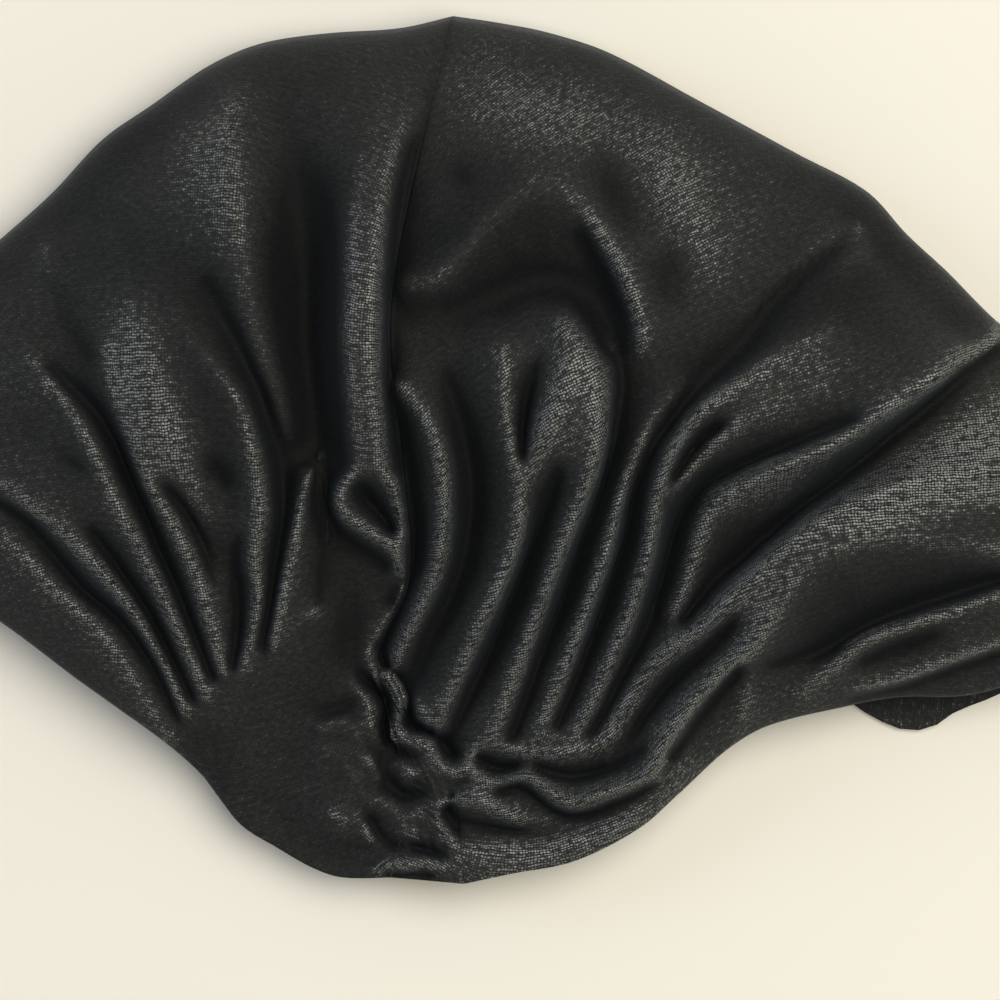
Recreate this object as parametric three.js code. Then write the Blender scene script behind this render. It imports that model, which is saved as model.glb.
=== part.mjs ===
// A turban cap of soft black cloth, lying on its back as it is put down on a table.
// Two shaped panels meet in one seam that runs from the nape over the crown to the brow.
// At the brow the seam is gathered on a short elastic, and the cloth fans out from there in folds.
// Sizes are in millimetres: +X is the wearer's left as the cap lies, +Y points to the crown, +Z is up.
// The rim, where the head goes in, faces -Y. The back of the cap lies flat on the table at z = 0.
import * as THREE from "three";

// Driving sizes.
const CLOTH = 2; // the doubled cloth of the wall
const SEAM_GAP = 0.4; // between the two panels along their seam
const RUCHE_GAP = 0.8; // between each panel and the gathered strip
const RIM_HEIGHT = 11; // top of the front rim above the table, beside the gathers
const DOME_HEIGHT = 36; // highest part of the smooth cap, without its folds
const EDGE_HEIGHT = 7; // where the cloth turns over at the crown's edge
const EDGE_TURN = 7; // how far in from the edge the underside has come down flat
const LEAN = 0.34; // share of the way between two crests at which the steep side ends in a valley
const CREST_ROOM = 6; // crests closer than this share a shallower valley
const BLACK = 0x1b1c1c;

// Where along a fold its named points lie, from the gathers (0) to the crown's edge (1).
const STATIONS = [0, 0.12, 0.28, 0.5, 0.72, 1];
// How high the dome stands at each of those stations, as a share of its full height.
const DOME = [0, 0.12, 0.4, 0.8, 1, 0.62];
const ROLL_START = 0.86; // from here on the cloth rolls over to the edge
const EDGE_PULL = 3; // how late, on their way out, the threads bend to the crown's edge
const REAR_RIM_PULL = 4; // how soon, away from the rear rim, its bow is lost in the back
const FLANK = 0.7; // how full the dome is next to the rim: the smaller, the fuller
const CREST = 1.6; // how round a fold's crest is

// The seam on the front, from the gathers up to the crown's edge.
const SEAM = {
  root: [-31.2, -42.4],
  heel: [-29, -37],
  foot: [-24, -25],
  knee: [-25.4, -1],
  tip: [-27.4, 30],
  edge: [-15.4, 87.4],
};
// The nape on the back, where the two panels meet at the rim and further up the seam.
const NAPE = { rim: [-23, -70], seam: [-22, -40] };

// The gathered strip at the brow, from the rim up: its middle line and half its width.
const RUCHE = [
  { middle: [-20.6, -86.6], half: 7.4 },
  { middle: [-20, -79], half: 6 },
  { middle: [-19.8, -71], half: 4.6 },
  { middle: [-22, -63], half: 3 },
  { middle: [-26.4, -54], half: 1.8 },
  { middle: [-31.2, -42.4], half: 0 },
];
const RUCHE_TOP = 0.93; // the strip ends here, just short of the point where the panels meet
const RUCHE_DEPTH = 5; // from its puckered top to its flat underside
const PUCKER_PITCH = 6.4; // from one pucker to the next along the strip
const PUCKER_RISE = 1.5;
const PUCKER_SLANT = 1.4; // how far the puckers' wave is ahead at the strip's sides, in radians
const RUCHE_CROWN = 1.2; // how much the strip's middle stands over its sides
const RUCHE_STEPS = { along: 28, across: 8 };

// The two panels. crown is the outer edge from the side end of the rim to the seam, rim is the front
// rim from the gathers to the side end, back is the rear rim from the side end to the nape.
// Each fold's row has its root, as a share of the way up the gathers, its course over the cap, the
// share of the crown's edge that it points at, and how high its crest stands at heel, foot, knee and tip.
const LEFT = {
  name: "left_panel",
  side: -1,
  crown: [
    [-136, -12], [-137, 0], [-134.5, 11], [-127.5, 23], [-118, 33], [-106, 43], [-96, 52], [-86, 62.6],
    [-76, 69.6], [-66, 76.6], [-58, 80.6], [-51, 82.6], [-40, 84], [-26, 85], [-15.4, 87.4],
  ],
  rim: [
    [-38, -86], [-44, -84], [-51, -80], [-58, -75.6], [-63, -69.4], [-66, -65.4],
    [-73, -59], [-84, -51], [-91, -46], [-101, -38.4], [-106, -34.8], [-122, -24], [-136, -12],
  ],
  back: [[-136, -12], [-118, -21], [-95, -34], [-72, -49], [-50, -62], [-23, -70]],
  folds: [
    {
      fold: "rim_fold", root: 0.2, edge: 0.05, rise: [0, 2.5, 4, 3],
      heel: [-48, -76], foot: [-69.6, -57.4], knee: [-81.6, -42.4], tip: [-97, -27.6],
    },
    {
      fold: "ear_fold", root: 0.35, edge: 0.12, rise: [0, 2.5, 5, 3.5],
      heel: [-51, -69], foot: [-70.4, -51], knee: [-80.4, -29.6], tip: [-94, -19.6],
    },
    {
      fold: "cheek_fold", root: 0.45, edge: 0.23, rise: [0, 2.5, 4.5, 3],
      heel: [-51.6, -63.6], foot: [-66.4, -44.8], knee: [-76.8, -20.4], tip: [-86.4, -1],
    },
    {
      fold: "temple_fold", root: 0.54, edge: 0.37, rise: [0, 2.5, 5, 4],
      heel: [-50.4, -59.4], foot: [-62.8, -39], knee: [-70, -15.4], tip: [-78.4, 10],
    },
    {
      fold: "bent_fold", root: 0.63, edge: 0.56, rise: [0, 3, 5.5, 3],
      heel: [-47.6, -57], foot: [-56.8, -41], knee: [-54, -12], tip: [-61, 14],
    },
    {
      fold: "upper_fold", root: 0.72, edge: 0.72, rise: [0, 3.5, 4.5, 4],
      heel: [-43, -55], foot: [-48.4, -36.4], knee: [-45.6, -13], tip: [-53.6, 21],
    },
    {
      fold: "seam_fold", root: 0.9, edge: 0.92, rise: [1, 3.5, 7, 3],
      heel: [-31.4, -36], foot: [-27, -25.6], knee: [-32.4, -2.4], tip: [-33.6, 32],
    },
  ],
};
const RIGHT = {
  name: "right_panel",
  side: 1,
  crown: [
    [136.6, -28], [136.6, -16], [131, -5], [120, 6], [107, 16], [94, 26], [84, 36], [76, 43.4], [68, 52],
    [54, 59.6], [34, 70.4], [16, 80], [4, 84], [-6, 86], [-15.4, 87.4],
  ],
  rim: [
    [-4, -85.2], [9, -82.6], [22, -76], [30, -69], [40, -60], [48, -55.4],
    [63.4, -51.6], [74, -49.8], [86.4, -49.6], [94, -48], [110, -42], [136.6, -28],
  ],
  back: [
    [136.6, -28], [110, -42], [94, -49.8], [86, -53], [81, -56.2], [75, -56.4], [67, -52.6], [58, -47],
    [40, -52], [10, -64], [-23, -70],
  ],
  folds: [
    {
      fold: "hem_band", root: 0.12, edge: 0.04, rise: [2, 2, 2, 3],
      heel: [3, -79.6], foot: [24, -70], knee: [54, -50.4], tip: [86, -45.4],
    },
    {
      fold: "low_fold", root: 0.2, edge: 0.1, rise: [0, 0, 1.5, 4],
      heel: [6, -75.6], foot: [24, -66.8], knee: [50, -47], tip: [81, -34.4],
    },
    {
      fold: "lip_fold", root: 0.33, edge: 0.17, rise: [4, 4.5, 5, 3],
      heel: [8, -70.6], foot: [25, -62.6], knee: [43, -40.4], tip: [70, -22],
    },
    {
      fold: "nape_fold", root: 0.44, edge: 0.27, rise: [3, 5, 5, 4],
      heel: [17.4, -58.4], foot: [27, -41], knee: [43, -24.4], tip: [68, -8.4],
    },
    {
      fold: "over_fold", root: 0.5, edge: 0.38, rise: [3, 5, 6, 5],
      heel: [14.6, -57.2], foot: [24.4, -40], knee: [35, -12.4], tip: [64, 3],
    },
    {
      fold: "pleat_1", root: 0.56, edge: 0.52, rise: [3, 6, 6, 4],
      heel: [9.4, -57], foot: [17.4, -37.4], knee: [24.4, -13], tip: [46, 14.4],
    },
    {
      fold: "pleat_2", root: 0.62, edge: 0.66, rise: [3, 6, 5, 1],
      heel: [1.6, -57.6], foot: [8.4, -36], knee: [15.6, -14], tip: [27, 13],
    },
    {
      fold: "pleat_3", root: 0.68, edge: 0.78, rise: [3, 6, 5, 4],
      heel: [-8.6, -57.6], foot: [-1, -36], knee: [10, -11], tip: [12.4, 20],
    },
    {
      fold: "pleat_4", root: 0.75, edge: 0.88, rise: [3, 6, 5, 2],
      heel: [-17, -58.4], foot: [-11, -34.4], knee: [-3.4, -6], tip: [-6, 21],
    },
    {
      fold: "brow_fold", root: 0.9, edge: 0.95, rise: [2, 5, 5, 0],
      heel: [-26, -43], foot: [-20.4, -29], knee: [-17.4, -8], tip: [-20, 20],
    },
  ],
};

// Hollows and swellings of the cap that are no folds: middle, length and width either way, the turn
// of the long way from +X in degrees, and the depth, or the height where it is negative.
const DENTS = [
  { dent: "crown_dent", x: -3, y: 38, long: 22, wide: 13, turn: 20, depth: 7 },
  { dent: "seam_hollow", x: -45, y: 28, long: 34, wide: 6, turn: 92, depth: 5 },
  { dent: "side_crease", x: 58, y: 34, long: 26, wide: 6, turn: 38, depth: 3.5 },
  { dent: "brow_recess", x: 6, y: -62, long: 12, wide: 3, turn: 0, depth: 3 },
  { dent: "left_cheek", x: -47, y: -70, long: 16, wide: 9, turn: -38, depth: -2.5 },
];

const mix = (a, b, t) => a + (b - a) * t;
const mixPoint = (a, b, t) => a.map((value, i) => mix(value, b[i], t));
const clamp = (value) => Math.min(1, Math.max(0, value));
const distance = (a, b) => Math.hypot(a[0] - b[0], a[1] - b[1]);

// A smooth curve through values at knots. With steady set it never overshoots them.
function through(knots, values, at, steady = false) {
  const last = knots.length - 1;
  const rate = (k) => (values[k + 1] - values[k]) / (knots[k + 1] - knots[k]);
  const slope = (k) => {
    if (k === 0) return rate(0);
    if (k === last) return rate(last - 1);
    const [before, after] = [rate(k - 1), rate(k)];
    if (!steady) return (values[k + 1] - values[k - 1]) / (knots[k + 1] - knots[k - 1]);
    return before * after <= 0 ? 0 : (2 * before * after) / (before + after);
  };
  let i = 0;
  while (i < last - 1 && at > knots[i + 1]) i += 1;
  const span = knots[i + 1] - knots[i];
  const t = (at - knots[i]) / span;
  const [t2, t3] = [t * t, t * t * t];
  return (
    values[i] * (2 * t3 - 3 * t2 + 1) +
    slope(i) * span * (t3 - 2 * t2 + t) +
    values[i + 1] * (3 * t2 - 2 * t3) +
    slope(i + 1) * span * (t3 - t2)
  );
}
const pointThrough = (knots, points, at, steady) =>
  [0, 1].map((axis) => through(knots, points.map((p) => p[axis]), at, steady));

// A path through points that is followed by the share of its length.
function pathOf(points) {
  const along = [0];
  points.slice(1).forEach((p, i) => along.push(along[i] + distance(p, points[i])));
  const knots = along.map((length) => length / along.at(-1));
  return (share) => pointThrough(knots, points, share);
}

// The middle line of the gathers and a point beside it, at a share of the way up from the rim.
const rucheKnots = RUCHE.map((row, i) => i / (RUCHE.length - 1));
const rucheMiddle = (share) => pointThrough(rucheKnots, RUCHE.map((row) => row.middle), share);
const rucheHalf = (share) => through(rucheKnots, RUCHE.map((row) => row.half), share, true);
function rucheBeside(share, out) {
  const step = 0.01;
  const [before, after] = [rucheMiddle(Math.max(0, share - step)), rucheMiddle(Math.min(1, share + step))];
  const length = distance(before, after);
  const across = [(after[1] - before[1]) / length, -(after[0] - before[0]) / length];
  const middle = rucheMiddle(share);
  return [middle[0] + across[0] * out, middle[1] + across[1] * out];
}

function dentDepth([x, y]) {
  return DENTS.reduce((sum, dent) => {
    const turn = THREE.MathUtils.degToRad(dent.turn);
    const [dx, dy] = [x - dent.x, y - dent.y];
    const along = (dx * Math.cos(turn) + dy * Math.sin(turn)) / dent.long;
    const across = (dy * Math.cos(turn) - dx * Math.sin(turn)) / dent.wide;
    return sum + dent.depth * Math.exp(-(along * along + across * across));
  }, 0);
}

// One panel's surface as functions of u, from the rim (0) to the seam (1), and of v, which runs
// from the gathers (0) over the front to the crown's edge (1) and back under to the nape (2).
function panelSurface(panel) {
  const { side, folds } = panel;
  const count = folds.length + 1;
  const places = Array.from({ length: count + 1 }, (_, i) => i / count);
  const shares = [0, ...folds.map((row) => row.edge), 1];
  const beside = (point) => [point[0] + (side * SEAM_GAP) / 2, point[1]];
  const roots = [0, ...folds.map((row) => row.root), 1];
  const root = (share) => {
    const clear = mix(RUCHE_GAP, SEAM_GAP / 2, share ** 6);
    return share === 1 ? beside(SEAM.root) : rucheBeside(share, side * (rucheHalf(share) + clear));
  };
  const [crown, rim, back] = [panel.crown, [root(0), ...panel.rim], panel.back].map(pathOf);
  const lines = [
    rim,
    ...folds.map((row, i) => {
      const points = [root(row.root), row.heel, row.foot, row.knee, row.tip, crown(row.edge)];
      return (v) => pointThrough(STATIONS, points, v);
    }),
    (v) => beside(pointThrough(STATIONS, Object.values(SEAM), v)),
  ];
  const edgeShare = (u) => through(places, shares, u, true);
  const nape = (u) => beside(mixPoint(NAPE.rim, NAPE.seam, u));

  // The point of the crown's edge that a thread of the cloth runs to.
  const crownPoint = (u) => (u === 1 ? beside(SEAM.edge) : crown(edgeShare(u)));

  function frontPlan(u, v) {
    if (v === 0) return root(through(places, roots, u, true));
    const between = (at) => pointThrough(places, lines.map((line) => line(at)), u, true);
    const end = between(1);
    const target = crownPoint(u);
    return between(v).map((value, axis) => value + v ** EDGE_PULL * (target[axis] - end[axis]));
  }
  function backPlan(u, t) {
    const straight = mixPoint(crownPoint(u), nape(u), t);
    const rimPull = (1 - u) ** REAR_RIM_PULL;
    const rimStraight = mixPoint(crown(0), nape(0), t);
    const rimPoint = mixPoint(back(t), nape(0), t === 1 ? 1 : 0);
    return straight.map((value, axis) => value + rimPull * (rimPoint[axis] - rimStraight[axis]));
  }

  // The smooth cap without its folds. u may pass 0 and 1 a little, to find a slope.
  function dome(u, v) {
    const across = Math.sin((Math.PI / 2) * clamp(u) ** FLANK);
    const share = through(STATIONS, DOME, v, true);
    return RIM_HEIGHT + (DOME_HEIGHT - RIM_HEIGHT) * share * across;
  }
  const roll = (v) => Math.sqrt(Math.max(0, 1 - clamp((v - ROLL_START) / (1 - ROLL_START)) ** 2));

  // The height of the folds over the dome.
  function foldHeight(u, v) {
    const rise = (i) =>
      i === 0 || i === count ? 0 : Math.max(0, through(STATIONS, [0, ...folds[i - 1].rise, 0], v));
    const i = Math.min(count - 1, Math.floor(u * count));
    const s = u * count - i;
    const ease = (t) => Math.sin((Math.PI / 2) * t) ** CREST;
    if (i === 0) return rise(1) * ease(s);
    if (i === count - 1) return rise(i) * ease(1 - s);
    const room = clamp(distance(lines[i](v), lines[i + 1](v)) / CREST_ROOM);
    const floor = Math.min(rise(i), rise(i + 1)) * (1 - room);
    const valley = side < 0 ? LEAN : 1 - LEAN;
    const [crest, way] = s < valley ? [rise(i), 1 - s / valley] : [rise(i + 1), (s - valley) / (1 - valley)];
    return floor + (crest - floor) * ease(way);
  }

  function point(u, v, folded) {
    if (v <= 1) {
      const plan = frontPlan(u, v);
      const extra = folded ? foldHeight(u, v) - dentDepth(plan) : 0;
      return [...plan, EDGE_HEIGHT + (dome(u, v) + extra - EDGE_HEIGHT) * roll(v)];
    }
    const plan = backPlan(u, v - 1);
    const inset = clamp(distance(plan, backPlan(u, 0)) / EDGE_TURN);
    return [...plan, EDGE_HEIGHT * (1 - Math.sqrt(1 - (1 - inset) ** 2))];
  }
  return { panel, count, point };
}

// Where the mesh has its columns, u, and its rows, v.
function columnsOf({ count, panel }) {
  const valley = panel.side < 0 ? LEAN : 1 - LEAN;
  const within = [0, valley / 2, valley, (1 + valley) / 2];
  const all = Array.from({ length: count }, (_, i) => within.map((s) => (i + s) / count)).flat();
  return [...all, 1];
}
const FRONT_ROWS = [0, 0.06, 0.12, 0.2, 0.28, 0.38, 0.48, 0.58, 0.67, 0.76, ROLL_START, 0.93, 0.97, 0.992, 1];
const BACK_ROWS = [1.006, 1.02, 1.05, 1.12, 1.2, 1.28, 1.32, 1.36, 1.41, 1.47, 1.6, 1.8, 2];

const STEP = { u: 0.01, v: 0.004 }; // how far apart two points are that give the surface's slope

// A closed wall: the outer surface, the inner one a cloth's thickness in, and the four cut edges.
function wallGeometry(surface) {
  const columns = columnsOf(surface);
  const rows = [...FRONT_ROWS, ...BACK_ROWS];
  const outward = new THREE.Vector3();
  const [alongU, alongV] = [new THREE.Vector3(), new THREE.Vector3()];
  const smooth = (u, v) => new THREE.Vector3(...surface.point(clamp(u), Math.min(2, Math.max(0, v)), false));
  const outer = [];
  const inner = [];
  for (const v of rows) {
    for (const u of columns) {
      const here = new THREE.Vector3(...surface.point(u, v, true));
      alongU.subVectors(smooth(u + STEP.u, v), smooth(u - STEP.u, v));
      alongV.subVectors(smooth(u, v + STEP.v), smooth(u, v - STEP.v));
      outward.crossVectors(alongU, alongV).multiplyScalar(-surface.panel.side).normalize();
      // Along the gathers and the seam the wall is cut square, so that it stays clear of its neighbour.
      if (v === 0) outward.set(0, 0, 1);
      if (u === 1) outward.set(0, -alongV.z, alongV.y).normalize();
      outer.push(here);
      inner.push(here.clone().addScaledVector(outward, -CLOTH));
    }
  }
  return closeWall(outer, inner, rows.length, columns.length, surface.panel.side < 0);
}

function closeWall(outer, inner, rowCount, columnCount, outerFirst) {
  const position = [...outer, ...inner].flatMap((p) => [p.x, p.y, p.z]);
  const index = [];
  const quad = (a, b, c, d) => index.push(...(outerFirst ? [a, b, c, a, c, d] : [a, c, b, a, d, c]));
  const at = (row, column) => row * columnCount + column;
  const offset = outer.length;
  for (let row = 0; row < rowCount - 1; row += 1) {
    for (let column = 0; column < columnCount - 1; column += 1) {
      const [a, b] = [at(row, column), at(row, column + 1)];
      const [c, d] = [at(row + 1, column + 1), at(row + 1, column)];
      quad(a, b, c, d);
      quad(offset + d, offset + c, offset + b, offset + a);
    }
  }
  const edge = (a, b) => quad(b, a, offset + a, offset + b);
  for (let column = 0; column < columnCount - 1; column += 1) {
    edge(at(0, column), at(0, column + 1));
    edge(at(rowCount - 1, column + 1), at(rowCount - 1, column));
  }
  for (let row = 0; row < rowCount - 1; row += 1) {
    edge(at(row, columnCount - 1), at(row + 1, columnCount - 1));
    edge(at(row + 1, 0), at(row, 0));
  }
  const geometry = new THREE.BufferGeometry();
  geometry.setAttribute("position", new THREE.Float32BufferAttribute(position, 3));
  geometry.setIndex(index);
  geometry.computeVertexNormals();
  return geometry;
}

// The gathered strip: puckers run across it, and they swap sides from one to the next.
function rucheGeometry() {
  const { along, across } = RUCHE_STEPS;
  const length = RUCHE.slice(1).reduce((sum, row, i) => sum + distance(row.middle, RUCHE[i].middle), 0);
  const outer = [];
  const inner = [];
  for (let i = 0; i <= along; i += 1) {
    const share = (i / along) * RUCHE_TOP;
    const half = rucheHalf(share);
    for (let j = 0; j <= across; j += 1) {
      const side = (j / across) * 2 - 1;
      const [x, y] = rucheBeside(share, side * half);
      const wave = Math.sin((2 * Math.PI * share * length) / PUCKER_PITCH + PUCKER_SLANT * side);
      const top = RIM_HEIGHT + RUCHE_CROWN * (1 - side * side) + PUCKER_RISE * wave * (1 - 0.5 * side * side);
      outer.push(new THREE.Vector3(x, y, top));
      inner.push(new THREE.Vector3(x, y, RIM_HEIGHT - RUCHE_DEPTH));
    }
  }
  return closeWall(outer, inner, along + 1, across + 1, true);
}

function cloth(name, geometry) {
  const material = new THREE.MeshStandardMaterial({ color: BLACK, roughness: 0.62, metalness: 0 });
  const mesh = new THREE.Mesh(geometry, material);
  mesh.name = name;
  return mesh;
}

const cap = new THREE.Group();
cap.name = "turban_cap";
for (const panel of [LEFT, RIGHT]) {
  cap.add(cloth(panel.name, wallGeometry(panelSurface(panel))));
}
cap.add(cloth("front_ruche", rucheGeometry()));

export default cap;
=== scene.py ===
# %% [markdown]
# A black turban cap, built in Blender around its CAD frame. The real cap is a ready-gathered head wrap: two
# panels of soft black cloth meet in a seam that runs over the crown, and at the brow the seam is drawn up
# on a short elastic, so the cloth fans out from there in folds. The lesson makes each panel as a closed
# wall of cloth. Its folds come from a table of lines that says where each fold runs, how high it stands and
# how softly it bends. where each fold runs and how high it stands.

# %% The frame and the tools
import math

import bmesh
import bpy
import numpy as np
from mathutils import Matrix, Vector


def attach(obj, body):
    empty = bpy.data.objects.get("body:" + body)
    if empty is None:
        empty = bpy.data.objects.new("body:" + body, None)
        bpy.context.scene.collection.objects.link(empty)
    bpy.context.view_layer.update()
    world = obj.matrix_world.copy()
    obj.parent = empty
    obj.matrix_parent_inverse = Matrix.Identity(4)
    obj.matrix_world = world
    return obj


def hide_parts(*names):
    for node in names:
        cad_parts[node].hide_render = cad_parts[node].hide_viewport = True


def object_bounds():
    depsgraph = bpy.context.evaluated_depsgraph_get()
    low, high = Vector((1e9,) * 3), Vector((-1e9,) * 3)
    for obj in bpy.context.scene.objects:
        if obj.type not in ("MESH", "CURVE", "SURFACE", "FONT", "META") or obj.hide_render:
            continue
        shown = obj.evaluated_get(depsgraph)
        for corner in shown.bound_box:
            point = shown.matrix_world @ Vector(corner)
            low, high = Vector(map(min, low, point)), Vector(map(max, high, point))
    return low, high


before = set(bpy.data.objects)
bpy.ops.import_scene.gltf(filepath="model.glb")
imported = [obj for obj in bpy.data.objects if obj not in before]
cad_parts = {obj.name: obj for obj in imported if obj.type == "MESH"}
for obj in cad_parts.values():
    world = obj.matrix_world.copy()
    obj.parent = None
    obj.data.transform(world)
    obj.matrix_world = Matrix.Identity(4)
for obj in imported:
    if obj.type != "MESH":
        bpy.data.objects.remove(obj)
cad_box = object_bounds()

MM = 0.001
box_size = np.ptp(np.array(cad_box), axis=0).round(4)
print("nodes to dress:", sorted(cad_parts), "in a box of", box_size, "m")

# %% [markdown]
# The camera looks straight down, as the photograph does. It stands well back with a long lens, so that the
# cap's high parts are hardly larger than its low ones, and one pixel is 0.2 mm on the cloth all over the
# picture.

# %% The camera
PICTURE_MM = 200  # width of what the camera sees, at the cap's middle height
PICTURE_MIDDLE = (-6, -10.1, 18)  # the point in the middle of the picture, in mm
CAMERA_UP = 1500  # mm above that point
SENSOR = 36

camera_data = bpy.data.cameras.new("camera")
camera_data.sensor_width = SENSOR
camera_data.lens = SENSOR * CAMERA_UP / PICTURE_MM
camera = bpy.data.objects.new("camera", camera_data)
camera.location = [PICTURE_MIDDLE[0] * MM, PICTURE_MIDDLE[1] * MM, (PICTURE_MIDDLE[2] + CAMERA_UP) * MM]
bpy.context.scene.collection.objects.link(camera)
bpy.context.scene.camera = camera
print("camera lens", round(camera_data.lens), "mm")

# %% [markdown]
# Every line on the cap is drawn through a few points. A Hermite curve passes through all of them smoothly,
# and with steady slopes it never swings past its own points, which keeps neighbouring threads of the cloth
# apart.

# %% Smooth curves through a few points
def smooth(knots, values, at, steady=False):
    """Reads a smooth curve through values, which stand at knots, at each place of at."""
    knots, at = np.asarray(knots, float), np.asarray(at, float)
    values = np.asarray(values, float)
    rows = values.reshape(len(knots), -1)
    rate = np.diff(rows, axis=0) / np.diff(knots)[:, None]
    slope = np.vstack([rate[:1], np.zeros_like(rows[1:-1]), rate[-1:]])
    before, after = rate[:-1], rate[1:]
    if steady:
        same = before * after > 0
        slope[1:-1] = np.where(same, 2 * before * after / np.where(same, before + after, 1), 0)
    else:
        slope[1:-1] = (rows[2:] - rows[:-2]) / (knots[2:] - knots[:-2])[:, None]
    i = np.clip(np.searchsorted(knots, at, side="right") - 1, 0, len(knots) - 2)
    span = (knots[i + 1] - knots[i])[:, None]
    t = (at - knots[i])[:, None] / span
    found = (
        rows[i] * (2 * t**3 - 3 * t**2 + 1)
        + slope[i] * span * (t**3 - 2 * t**2 + t)
        + rows[i + 1] * (3 * t**2 - 2 * t**3)
        + slope[i + 1] * span * (t**3 - t**2)
    )
    return found.reshape(at.shape + values.shape[1:])


def along(points, share):
    """Follows a path through points by the share of its length."""
    points = np.asarray(points, float)
    length = np.concatenate([[0], np.cumsum(np.linalg.norm(np.diff(points, axis=0), axis=1))])
    return smooth(length / length[-1], points, share)

print("the middle of a corner path:", along([(0, 0), (10, 0), (10, 10)], np.array([0.5]))[0].round(2))

# %% [markdown]
# The cap's plan is the one of the frame: the crown's edge, the front and rear rims, the seam, and the strip
# of gathers at the brow. All of it is in millimetres, with the crown towards +Y.

# %% The plan of the cap
STATIONS = [0, 0.12, 0.28, 0.5, 0.72, 1]  # gathers, heel, foot, knee, tip and crown's edge
DOME = [0, 0.14, 0.42, 0.74, 1, 0.62]  # height at those stations, as a share of the whole
RIM_HEIGHT, DOME_HEIGHT, EDGE_HEIGHT = 11, 36, 7
FLANK = 0.7  # below 1, the dome's flanks are steeper than a sine
ROLL_START = 0.86  # share of the front from which the cloth rolls over the crown's edge
EDGE_TURN = 7  # mm inside the crown's edge until the back lies flat
EDGE_PULL, REAR_RIM_PULL = 3, 4  # powers: the higher, the closer to the edge the threads start to follow it
SEAM_GAP = 0.04  # mm between the two panels
CLOTH = 1.3  # mm: two layers of thin cloth

SEAM = [(-31.2, -42.4), (-29, -37), (-24, -25), (-25.4, -1), (-27.4, 30), (-15.4, 87.4)]
NAPE_RIM, NAPE_SEAM = (-23, -70), (-22, -40)
RUCHE = [(-20.6, -86.6), (-20, -79), (-19.8, -71), (-22, -63), (-26.4, -54), (-31.2, -42.4)]
RUCHE_HALF = [7.4, 6, 4.6, 3, 1.8, 0]

LEFT = {
    "side": -1,
    "grain": 4,  # degrees that the weft rises to the right
    "crown": [
        (-136, -12), (-137, 0), (-134.5, 11), (-127.5, 23), (-118, 33), (-106, 43), (-96, 52), (-86, 62.6),
        (-76, 69.6), (-66, 76.6), (-58, 80.6), (-51, 82.6), (-40, 84), (-26, 85), (-15.4, 87.4),
    ],
    "rim": [
        (-38, -86), (-44, -84), (-51, -80), (-58, -75.6), (-63, -69.4), (-66, -65.4),
        (-73, -59), (-84, -51), (-91, -46), (-101, -38.4), (-106, -34.8), (-122, -24), (-136, -12),
    ],
    "back": [(-136, -12), (-118, -21), (-95, -34), (-72, -49), (-50, -62), (-23, -70)],
    # place across the panel, root on the gathers, heel, foot, knee, tip, share of the crown's edge
    "guides": [
        (0.375, 0.45, (-51.6, -63.6), (-66.4, -44.8), (-76.8, -20.4), (-86.4, -1), 0.23),
        (0.625, 0.63, (-47.6, -57), (-56.8, -41), (-54, -12), (-61, 14), 0.56),
    ],
}
RIGHT = {
    "side": 1,
    "grain": 18,
    "crown": [
        (136.6, -28), (136.6, -16), (131, -5), (120, 6), (107, 16), (94, 26), (84, 36), (76, 43.4), (68, 52),
        (54, 59.6), (34, 70.4), (16, 80), (4, 84), (-6, 86), (-15.4, 87.4),
    ],
    "rim": [
        (-4, -85.2), (9, -82.6), (22, -76), (30, -69), (40, -60), (48, -55.4),
        (63.4, -51.6), (74, -49.8), (86.4, -49.6), (94, -48), (110, -42), (136.6, -28),
    ],
    "back": [
        (136.6, -28), (110, -42), (94, -49.8), (86, -53), (81, -56.2), (75, -56.4), (67, -52.6), (58, -47),
        (40, -52), (10, -64), (-23, -70),
    ],
    "guides": [
        (0.273, 0.33, (8, -70.6), (25, -62.6), (43, -40.4), (70, -22), 0.17),
        (0.455, 0.5, (14.6, -57.2), (24.4, -40), (35, -12.4), (64, 3), 0.38),
        (0.636, 0.64, (1.6, -57.6), (8.4, -36), (15.6, -14), (27, 13), 0.66),
        (0.818, 0.8, (-17, -54.5), (-11, -34.4), (-3.4, -6), (-6, 21), 0.88),
    ],
}
print("front rim", sum(math.dist(a, b) for p in (LEFT, RIGHT) for a, b in zip(p["rim"], p["rim"][1:])), "mm")

# %% [markdown]
# Each panel is a grid of threads. One direction, u, runs from the rim to the seam, and the other, v, from
# the gathers over the front (0 to 1), round the crown's edge and back under to the nape (1 to 2). The
# smooth grid has no folds yet: it is the pillow that the folds are laid on.

# %% The smooth pillow
def beside_ruche(share, out):
    """A point beside the gathers: share of the way up from the rim, and out millimetres to the right."""
    knots = np.linspace(0, 1, len(RUCHE))
    step = 0.01
    ahead = smooth(knots, RUCHE, np.minimum(1, share + step))
    ahead -= smooth(knots, RUCHE, np.maximum(0, share - step))
    ahead /= np.linalg.norm(ahead, axis=1)[:, None]
    across = np.column_stack([ahead[:, 1], -ahead[:, 0]])
    return smooth(knots, RUCHE, share) + across * out[:, None]


def ruche_half(share):
    return smooth(np.linspace(0, 1, len(RUCHE)), RUCHE_HALF, share, steady=True)


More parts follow.
